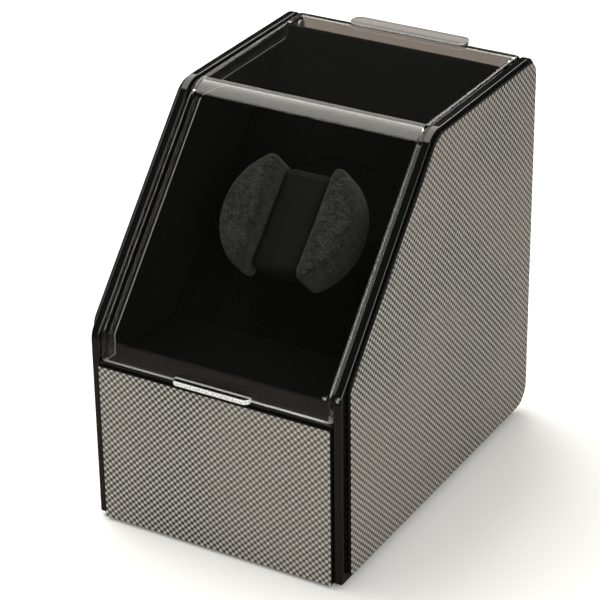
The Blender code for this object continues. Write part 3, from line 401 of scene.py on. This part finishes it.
def clear_acrylic():
    """Polished acrylic that lets lamps through, with hair scratches and faint finger marks."""
    look = Look("clear_acrylic", {"Base Color": (0.985, 0.985, 0.975), "Transmission Weight": 1.0,
                                  "IOR": 1.49})
    hair = look.step(look.streaks((40, 2600, 2600), 1, 0.5, (0.4, 0.2, 0.9)), 0.715, 0.74)
    marks = look.step(look.noise(55, 5, 0.6), 0.56, 0.74)
    look.put("Roughness", look.plus(look.times(hair, 0.05), look.times(marks, 0.03)))
    path = look.tree.nodes.new("ShaderNodeLightPath")
    through = look.node("BsdfTransparent", {"Color": (0.90, 0.90, 0.89)})
    mixed = look.node("MixShader", {0: path.outputs["Is Shadow Ray"], 1: look.shader.outputs[0],
                                    2: through})
    look.join(mixed, look.tree.nodes["Material Output"].inputs["Surface"])
    return look.made


def sawn_acrylic():
    """The lid's cut edges: the same clear sheet, whitened by fine saw marks.

    The side flanges' rims are rubbed and whitened evenly instead of by the saw marks: partly
    frosting, partly painted highlight lines, strong towards the left rim's inner edge and faint all
    over the right. The rear tab's top is whitened least.
    """
    look = Look("sawn_acrylic", {"IOR": 1.49, "Specular IOR Level": 0.5})
    saw = look.streaks((2600, 900, 900))
    side = look.axis("X")
    flange = look.step(look.calc("ABSOLUTE", side), 53.0 * MM, 54.0 * MM)
    # partly painted highlight: the left rim whitens towards its inner edge and the right rim only
    # faintly, drawing bright lines along the lid's edges
    left_rim_frost_and_highlight = look.step(side, -56.4 * MM, -54.9 * MM, 0.0, 0.75)
    rims = look.blend(look.step(side, 0.0, 1 * MM), left_rim_frost_and_highlight, 0.30)
    white = look.blend(flange, look.spread(saw, 0.45, 0.75), rims)
    tab_top = look.step(look.axis("Z"), LID_TOP + 0.7 * MM, LID_TOP + 0.75 * MM)
    white = look.blend(tab_top, white, 0.14)
    look.put("Base Color", look.mix(white, (0.98, 0.98, 0.97), (0.90, 0.90, 0.88)))
    look.put("Transmission Weight", look.minus(1.0, white))
    look.put("Roughness", look.times(white, 0.45))
    return look.made


def black_velvet():
    """Flocked black velvet: a soft nap, brushed patches and a little pale lint."""
    look = Look("black_velvet", {"Roughness": 0.95, "Specular IOR Level": 0.05,
                                 "Sheen Weight": 0.03, "Sheen Roughness": 0.35,
                                 "Sheen Tint": (0.55, 0.56, 0.50)})
    nap = look.noise(5200, 3, 0.7)
    brushed = look.noise(28, 4, 0.6)
    lint = look.step(look.streaks((900, 2100, 900), 1, 0.5, (0.5, 0.3, 0.8)), 0.765, 0.79)
    pile = look.mix(look.step(nap, 0.25, 0.75), (0.0006, 0.0007, 0.0005),
                    (0.0030, 0.0032, 0.0026))
    worn = look.mix(look.step(brushed, 0.4, 0.7, 0.0, 0.5), pile, (0.0034, 0.0036, 0.0029))
    look.put("Base Color", look.mix(look.times(lint, 0.7), worn, (0.12, 0.12, 0.11)))
    look.put("Normal", look.bump(nap, 0.25 * MM, 0.7))
    return look.made


def grey_felt():
    """Charcoal wool felt: curled fibres about a millimetre long, in clumps, with painted light and
    shade:
    the fibres' tops painted paler, the low fibres and the hollows between clumps painted darker.
    """
    look = Look("grey_felt", {"Roughness": 0.95, "Specular IOR Level": 0.10, "Sheen Weight": 0.16,
                              "Sheen Roughness": 0.5, "Sheen Tint": (0.8, 0.82, 0.76)})
    curls = look.noise(900, 3, 0.6, None, 2.4)
    clump = look.noise(330, 3, 0.6)
    fibre = look.streaks((520, 2600, 1500), turn=(0.5, 0.35, 0.9), distortion=1.6)
    fine = look.noise(3800, 3, 0.7)
    height = look.blend(0.2, look.blend(0.5, curls, fibre), fine)
    # painted light and shade: the fibres' high tops are painted pale and the low ones dark, by the
    # heights that also bump them
    wool = look.mix(look.step(height, 0.42, 0.60), (0.0070, 0.0077, 0.0062),
                    (0.118, 0.124, 0.106))
    # painted shade: the hollows between the clumps are darkened
    shade = look.step(clump, 0.35, 0.66, 0.60, 0.0)
    look.put("Base Color", look.mix(shade, wool, (0.006, 0.0066, 0.0052)))
    lumps = look.bump(clump, 0.6 * MM, 0.8)
    look.put("Normal", look.bump(height, 0.5 * MM, 0.9, lumps))
    return look.made


def black_plastic(name, shine, smooth, rough):
    """Moulded black plastic with a fine spark-eroded grain and paler rubbed edges."""
    look = Look(name, {"Specular IOR Level": shine})
    grain = look.noise(3200, 2, 0.6)
    rub = look.rubbed(0.35 * MM, 350, 0.4, 0.7)
    base = look.mix(look.noise(60, 3), (0.0045, 0.0045, 0.0045), (0.009, 0.009, 0.0093))
    look.put("Base Color", look.mix(look.times(rub, 0.4), base, (0.06, 0.06, 0.06)))
    look.put("Roughness", look.blend(rub, look.spread(grain, smooth, rough), 0.3))
    look.put("Normal", look.bump(grain, 0.05 * MM, 0.5))
    return look.made


def white_nylon():
    """Moulded nylon, a little translucent, with grease in patches."""
    look = Look("white_nylon", {"Subsurface Weight": 0.15, "Subsurface Scale": 2 * MM})
    grease = look.step(look.noise(210, 4, 0.6), 0.52, 0.68, 0.0, 0.55)
    flow = look.noise(35, 3, 0.5, None, 1.5)
    base = look.mix(flow, (0.80, 0.785, 0.72), (0.72, 0.70, 0.62))
    look.put("Base Color", look.mix(grease, base, (0.55, 0.44, 0.22)))
    look.put("Roughness", look.blend(grease, look.spread(flow, 0.38, 0.5), 0.18))
    look.put("Normal", look.bump(look.noise(1500, 3), 0.02 * MM, 0.5))
    return look.made


def circuit_board():
    """Green solder mask over copper traces, tinned pads, and black parts off the board."""
    look = Look("circuit_board")
    pitch, thickness = 2.54 * MM, 1.6 * MM
    face = nodes["control_board"].bound_box[6][1] - thickness   # the bare board's face
    gx, gz = (look.calc("DIVIDE", look.axis(way), pitch) for way in "XZ")
    dx, dz = (look.minus(look.calc("FRACT", grid), 0.5) for grid in (gx, gz))
    ring = look.calc("SQRT", look.plus(look.times(dx, dx), look.times(dz, dz)))
    column, row = look.calc("FLOOR", gx), look.calc("FLOOR", gz)
    holed = look.step(look.drawn(column, row), 0.60, 0.61)
    pads = look.times(look.step(ring, 0.24, 0.28, 1.0, 0.0), holed)
    hole = look.times(look.step(ring, 0.10, 0.12, 1.0, 0.0), holed)
    lane = look.times(look.step(look.calc("ABSOLUTE", dz), 0.10, 0.13, 1.0, 0.0),
                      look.step(look.drawn(3.0, row), 0.35, 0.36))
    post = look.times(look.step(look.calc("ABSOLUTE", dx), 0.10, 0.13, 1.0, 0.0),
                      look.step(look.drawn(column, 7.0), 0.62, 0.63))
    trace = look.calc("MAXIMUM", lane, post)
    mask = look.mix(look.noise(120, 3), (0.008, 0.085, 0.035), (0.014, 0.12, 0.05))
    mask = look.mix(trace, mask, (0.03, 0.22, 0.08))
    mask = look.mix(pads, mask, (0.72, 0.70, 0.66))
    mask = look.mix(hole, mask, (0.01, 0.01, 0.01))
    part = look.step(look.axis("Y"), face - 0.25 * MM, face - 0.1 * MM, 1.0, 0.0)
    chip = look.mix(look.noise(1600, 3), (0.010, 0.010, 0.011), (0.024, 0.024, 0.025))
    look.put("Base Color", look.mix(part, mask, chip))
    look.put("Roughness", look.blend(part, look.blend(pads, 0.32, 0.22), 0.5))
    look.put("Metallic", look.times(pads, look.minus(1.0, part)))
    look.put("Normal", look.bump(look.calc("MAXIMUM", trace, pads), 0.05 * MM, 0.8))
    return look.made


def foot_rubber():
    """Matt black rubber, dusty and finely pitted."""
    look = Look("foot_rubber", {"Specular IOR Level": 0.25})
    pits = look.noise(2400, 4, 0.6)
    dust = look.step(look.noise(500, 4, 0.7), 0.5, 0.75, 0.0, 0.5)
    look.put("Base Color", look.mix(dust, (0.012, 0.012, 0.012), (0.06, 0.058, 0.052)))
    look.put("Roughness", look.spread(pits, 0.72, 0.92))
    look.put("Normal", look.bump(pits, 0.08 * MM, 0.6))
    return look.made


def lead_sheath():
    """Soft black vinyl, with the fine lines that extrusion leaves."""
    look = Look("lead_sheath", {"Specular IOR Level": 0.45})
    lines = look.streaks((2800, 300, 300))
    look.put("Base Color", look.mix(lines, (0.010, 0.010, 0.011), (0.024, 0.024, 0.026)))
    look.put("Roughness", look.spread(lines, 0.36, 0.55))
    look.put("Normal", look.bump(lines, 0.04 * MM, 0.5))
    return look.made


# ---- the CAD nodes' smooth shading and faces --------------------------------------------------
SHARP_ANGLE = math.radians(35)      # edges that turn further stay sharp
SOFTENED_ANGLE = math.radians(50)   # edges that turn further are rounded on the nodes in SOFT_EDGES
WELD_DISTANCE = 0.005 * MM
SOFT_EDGES = {"display_panel": 0.5 * MM, "rotor_velvet": 0.25 * MM, "right_side_panel": 0.45 * MM}


def smoothing_group():
    """Geometry nodes that shade faces smooth and keep edges past the sharp angle sharp."""
    group = bpy.data.node_groups.new("smooth_by_angle", "GeometryNodeTree")
    for way in ("INPUT", "OUTPUT"):
        group.interface.new_socket("Geometry", in_out=way, socket_type="NodeSocketGeometry")
    start, end = group.nodes.new("NodeGroupInput"), group.nodes.new("NodeGroupOutput")
    faces = group.nodes.new("GeometryNodeSetShadeSmooth")
    faces.domain = "FACE"
    edges = group.nodes.new("GeometryNodeSetShadeSmooth")
    edges.domain = "EDGE"
    angle = group.nodes.new("GeometryNodeInputMeshEdgeAngle")
    gentle = group.nodes.new("FunctionNodeCompare")
    gentle.data_type = "FLOAT"
    gentle.operation = "LESS_THAN"
    gentle.inputs["B"].default_value = SHARP_ANGLE
    group.links.new(angle.outputs["Unsigned Angle"], gentle.inputs["A"])
    group.links.new(gentle.outputs["Result"], edges.inputs["Shade Smooth"])
    group.links.new(start.outputs[0], faces.inputs["Geometry"])
    group.links.new(faces.outputs[0], edges.inputs["Geometry"])
    group.links.new(edges.outputs[0], end.inputs[0])
    return group


def shade_smooth(node, group, rounding):
    """Joins the node's split triangles, rounds its edges and shades it smooth between them.

    It works by modifiers only, so the node's own vertices stay as packed.
    """
    normals = node.data.attributes.get("custom_normal")
    if normals is not None:
        node.data.attributes.remove(normals)
    weld = node.modifiers.new("weld", "WELD")
    weld.merge_threshold = WELD_DISTANCE
    if rounding:
        soft = node.modifiers.new("soft_edges", "BEVEL")
        soft.width = rounding
        soft.segments = 3
        soft.limit_method = "ANGLE"
        soft.angle_limit = SOFTENED_ANGLE
        soft.use_clamp_overlap = True
    smooth = node.modifiers.new("smooth", "NODES")
    smooth.node_group = group
    weighted = node.modifiers.new("weighted", "WEIGHTED_NORMAL")
    weighted.keep_sharp = True
    weighted.weight = 80


def dress(piece, look):
    """Gives a piece its one material."""
    piece.data.materials.clear()
    piece.data.materials.append(look)


def dress_faces(node, look, chosen):
    """Gives the faces that chosen(middle, normal) picks a second material."""
    node.data.materials.append(look)
    for face in node.data.polygons:
        if chosen(face.center, face.normal):
            face.material_index = 1


def sawn_edge(middle, normal):
    """True on the lid's cut edges.

    These are its lower rim, the rims of its side flanges and tabs, and the rear tab's rubbed top.
    """
    near = 0.12 * MM
    if middle.z > LID_TOP + near:
        return True
    if middle.y < LID_FRONT - near or middle.y > LID_REAR + near:
        return abs(normal.z) < 0.5
    if abs(normal.x) > 0.5:
        return False
    rims = (middle.z - LID_LOW, middle.y - LID_FRONT - LID_FLANGE,
            LID_TOP - LID_FLANGE - middle.z,
            SLOPE_LEVEL - LID_FLANGE - middle.dot(SLOPE_NORMAL))
    return any(abs(rim) < near for rim in rims)


def sheet_edge(through):
    """What picks the edges of a sheet, where through is the axis through its thickness."""
    return lambda middle, normal: abs(normal[through]) < 0.8


# ---- the felt pads --------------------------------------------------------------------------
PAD_INSET = 0.9 * MM                # room for the plain pad to swell outwards
PAD_CROWN = 1.3 * MM                # the same, on top
PAD_TIP = 3.2 * MM                  # radius of its two pointed corners
PAD_ROUNDING = 4.6 * MM
PAD_ROUNDED_ANGLE = math.radians(40)
PAD_GRID = 1.5 * MM                 # size of its remeshed faces
PAD_SWELL = 0.95 * MM               # furthest that a point swells
ARC_STEPS, TIP_STEPS = 36, 8

CLOTH_FRAMES = 20
CLOTH = {"use_pressure": True, "uniform_pressure_force": 4.0, "tension_stiffness": 15,
         "compression_stiffness": 15, "bending_stiffness": 0.5, "quality": 6}


def shape_object(name, shape):
    """Turns a bmesh into an object in the scene."""
    mesh = bpy.data.meshes.new(name)
    shape.to_mesh(mesh)
    shape.free()
    return add_object(name, mesh)


def apply_modifiers(piece):
    """Turns a piece's modifiers into plain mesh."""
    graph = bpy.context.evaluated_depsgraph_get()
    mesh = bpy.data.meshes.new_from_object(piece.evaluated_get(graph))
    piece.modifiers.clear()
    piece.data = mesh


def pad_outline(side, radius, groove, tip):
    """A segment of a disc outside the strap's groove, its two corners rounded to the tip radius."""
    inner, near = radius - tip, groove + tip
    start = math.acos(near / inner)
    arc = [start - 2 * start * i / ARC_STEPS for i in range(ARC_STEPS + 1)]
    points = [((inner + tip) * math.cos(t), (inner + tip) * math.sin(t)) for t in arc]
    corner = (near, inner * math.sin(start))
    turn = [start + (math.pi - start) * i / TIP_STEPS for i in range(1, TIP_STEPS + 1)]
    high = [(corner[0] + tip * math.cos(t), corner[1] + tip * math.sin(t)) for t in reversed(turn)]
    low = [(x, -y) for x, y in reversed(high)]
    return [(side * x, y) for x, y in high + points + low]


def pad_prism(name, outline, low, high):
    """A closed prism on the outline."""
    shape = bmesh.new()
    rings = [[shape.verts.new((x, y, z)) for x, y in outline] for z in (low, high)]
    count = len(outline)
    shape.faces.new(list(reversed(rings[0])))
    shape.faces.new(rings[1])
    for i in range(count):
        j = (i + 1) % count
        shape.faces.new((rings[0][i], rings[0][j], rings[1][j], rings[1][i]))
    bmesh.ops.recalc_face_normals(shape, faces=shape.faces)
    return shape_object(name, shape)


def box(name, middle, size):
    """A closed box, for cutting."""
    shape = bmesh.new()
    bmesh.ops.create_cube(shape, size=1.0)
    bmesh.ops.scale(shape, vec=Vector(size), verts=shape.verts)
    bmesh.ops.translate(shape, vec=Vector(middle), verts=shape.verts)
    return shape_object(name, shape)


def swell(piece, furthest):
    """Blows the piece up like a stuffed cover by cloth simulation, as far as furthest."""
    rest = [v.co.copy() for v in piece.data.vertices]
    cloth = piece.modifiers.new("cloth", "CLOTH")
    for key, value in CLOTH.items():
        setattr(cloth.settings, key, value)
    cloth.settings.effector_weights.gravity = 0.0
    cloth.collision_settings.use_collision = False
    cloth.point_cache.frame_start, cloth.point_cache.frame_end = 1, CLOTH_FRAMES
    scene = bpy.context.scene
    for number in range(1, CLOTH_FRAMES + 1):
        scene.frame_set(number)
    apply_modifiers(piece)
    scene.frame_set(1)
    for vertex, before in zip(piece.data.vertices, rest):
        moved = vertex.co - before
        if moved.length > furthest:
            vertex.co = before + moved * (furthest / moved.length)


def keep_inside(pad, side):
    """Moves what stands out of the CAD pad's own space back into it."""
    limit = PAD_RADIUS - 0.05 * MM
    for vertex in pad.data.vertices:
        x, y, z = vertex.co
        out = math.hypot(x, y)
        if out > limit:
            x, y = x * limit / out, y * limit / out
        x = side * max(side * x, GROOVE_HALF + 0.1 * MM)
        vertex.co = (x, y, min(max(z, PAD_LOW + 0.05 * MM), PAD_HIGH - 0.05 * MM))


def make_pad(name, side, group):
    """One felt pad: a soft segment with rounded edges, crowned on top and hollow for the bar."""
    outline = pad_outline(side, PAD_RADIUS - PAD_INSET, GROOVE_HALF + PAD_INSET, PAD_TIP)
    pad = pad_prism(name + "_cover", outline, PAD_LOW + PAD_INSET, PAD_HIGH - PAD_CROWN)
    soft = pad.modifiers.new("soft", "BEVEL")
    soft.width = PAD_ROUNDING
    soft.segments = 5
    soft.angle_limit = PAD_ROUNDED_ANGLE
    remesh = pad.modifiers.new("remesh", "REMESH")
    remesh.mode = "VOXEL"
    remesh.voxel_size = PAD_GRID
    apply_modifiers(pad)
    swell(pad, PAD_SWELL)
    keep_inside(pad, side)
    refine = pad.modifiers.new("refine", "SUBSURF")
    refine.levels = refine.render_levels = 1
    apply_modifiers(pad)
    pocket = box("pocket", (side * POCKET_OUT, 0, POCKET_HIGH), POCKET_SIZE)
    cut = pad.modifiers.new("pocket", "BOOLEAN")
    cut.object = pocket
    cut.solver = "EXACT"
    apply_modifiers(pad)
    bpy.data.objects.remove(pocket)
    pad.data.transform(ROTOR)
    pad.name = name
    pad.data.name = name
    pad.data.shade_smooth()
    smooth = pad.modifiers.new("smooth", "NODES")
    smooth.node_group = group
    return pad


# ---- putting it together --------------------------------------------------------------------
bpy.context.scene.view_settings.view_transform = "Standard"
bpy.context.scene.cycles.caustics_reflective = False
bpy.context.scene.cycles.caustics_refractive = False
make_camera()
make_world()
make_floor()
for light in LIGHTS:
    softbox(*light)

# by the name of the CAD material
LOOKS = {
    "gloss_black": gloss_black(),
    # painted shade: the side copy's pale threads are toned down to 0.95 of the front copy's
    "carbon_laminate": carbon_laminate("carbon_laminate_side", "Y", 0.45, 0.95),
    "black_board": black_board(),
    "batten_wood": batten_wood(),
    "clear_acrylic": clear_acrylic(),
    "black_velvet": black_velvet(),
    "grey_felt": grey_felt(),
    "black_plastic": black_plastic("black_plastic", 0.45, 0.34, 0.5),
    "white_nylon": white_nylon(),
    "circuit_board": circuit_board(),
    "foot_rubber": foot_rubber(),
    "lead_sheath": lead_sheath(),
    "steel": metal("steel", (0.62, 0.62, 0.63), (0.42, 0.42, 0.43), (0.20, 0.34), "X"),
    "bronze_bush": metal("bronze_bush", (0.62, 0.42, 0.20), (0.36, 0.22, 0.10), (0.28, 0.42), "Z"),
    "brass": metal("brass", (0.78, 0.58, 0.25), (0.50, 0.34, 0.13), (0.22, 0.36), "Z"),
    "motor_steel": metal("motor_steel", (0.55, 0.56, 0.58), (0.38, 0.38, 0.40), (0.28, 0.42), "Y"),
}
# by the name of the node, where it differs from the rest of its CAD material
OWN_LOOKS = {
    "front_laminate": carbon_laminate("carbon_laminate_front", "X", 0.36, 1.0),
    "holder_core": black_plastic("matt_plastic", 0.12, 0.7, 0.85),
}
CUT_LOOKS = {"lid": (sawn_acrylic(), sawn_edge)}
core = laminate_core()
for name, through in (("front_laminate", 1), ("left_side_laminate", 0), ("right_side_laminate", 0)):
    CUT_LOOKS[name] = (core, sheet_edge(through))

smoothing = smoothing_group()
for name, node in sorted(nodes.items()):
    surface = node.data.materials[0].name.split(".")[0]
    dress(node, OWN_LOOKS[name] if name in OWN_LOOKS else LOOKS[surface])
    if name in CUT_LOOKS:
        dress_faces(node, *CUT_LOOKS[name])
    shade_smooth(node, smoothing, SOFT_EDGES.get(name, 0.0))

for name, side in (("left_felt_pad", -1), ("right_felt_pad", 1)):
    pad = make_pad(name.replace("_pad", "_cushion"), side, smoothing)
    dress(pad, LOOKS["grey_felt"])
    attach(pad, "cushion")
    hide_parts(name)
